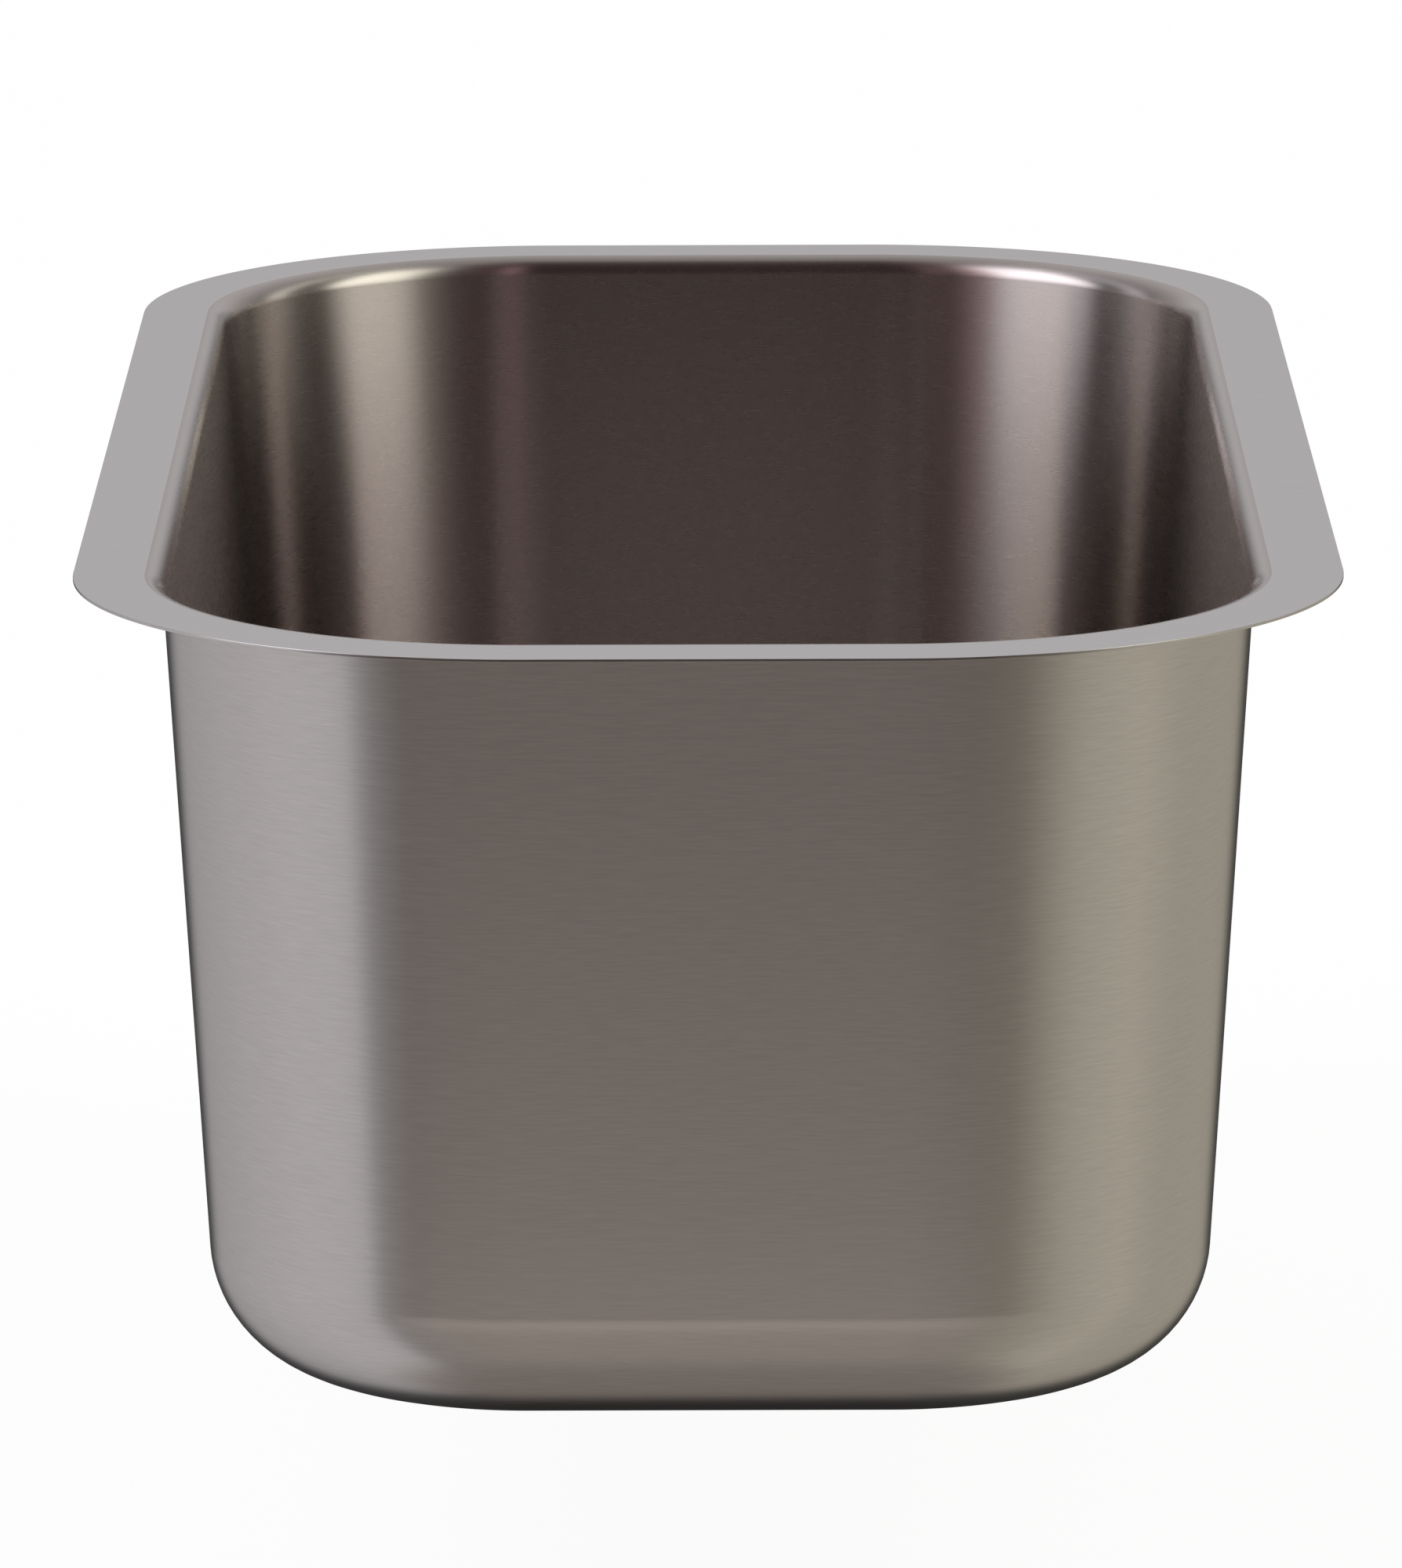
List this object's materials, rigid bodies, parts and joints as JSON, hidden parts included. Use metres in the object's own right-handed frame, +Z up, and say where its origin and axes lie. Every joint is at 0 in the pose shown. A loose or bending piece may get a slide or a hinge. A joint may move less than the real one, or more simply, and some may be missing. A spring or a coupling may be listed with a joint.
{
  "type": "pedicure foot bath",
  "caption": "Deep-drawn stainless steel foot bath bowl that drops into a bench by its flat flange, with a lift-out basket waste in its floor.",
  "frame": {"origin": "middle of the bowl's mouth in the plane of the flange's underside, which is the top of the bench it drops into", "axes": "+Z up out of the bowl, Y along the long side, X across it"},
  "size_m": [0.33, 0.64, 0.2719],
  "materials": {
    "bowl_steel": "satin",
    "waste_steel": "bright",
    "seal_rubber": "matte",
    "fibre": "matte",
    "nut_metal": "cast",
    "white_plastic": "moulded",
    "plated_brass": "polished"
  },
  "bodies": {
    "bath": {"basin": "bowl_steel", "rim_seal": "seal_rubber", "strainer_body": "waste_steel", "drain_gasket": "seal_rubber", "friction_washer": "fibre", "locknut": "nut_metal", "tailpiece_washer": "white_plastic", "tailpiece": "plated_brass", "coupling_nut": "plated_brass"},
    "basket": {"strainer_basket": "waste_steel", "stopper": "seal_rubber", "stopper_washer": "waste_steel", "basket_post": "waste_steel", "post_nut": "waste_steel", "basket_knob": "waste_steel", "grip_ring": "seal_rubber"}
  },
  "joints": [
    {"name": "basket_lift", "type": "slide", "parent": "bath", "child": "basket", "axis": [0, 0, 1], "range_m": [0, 0.27]}
  ]
}
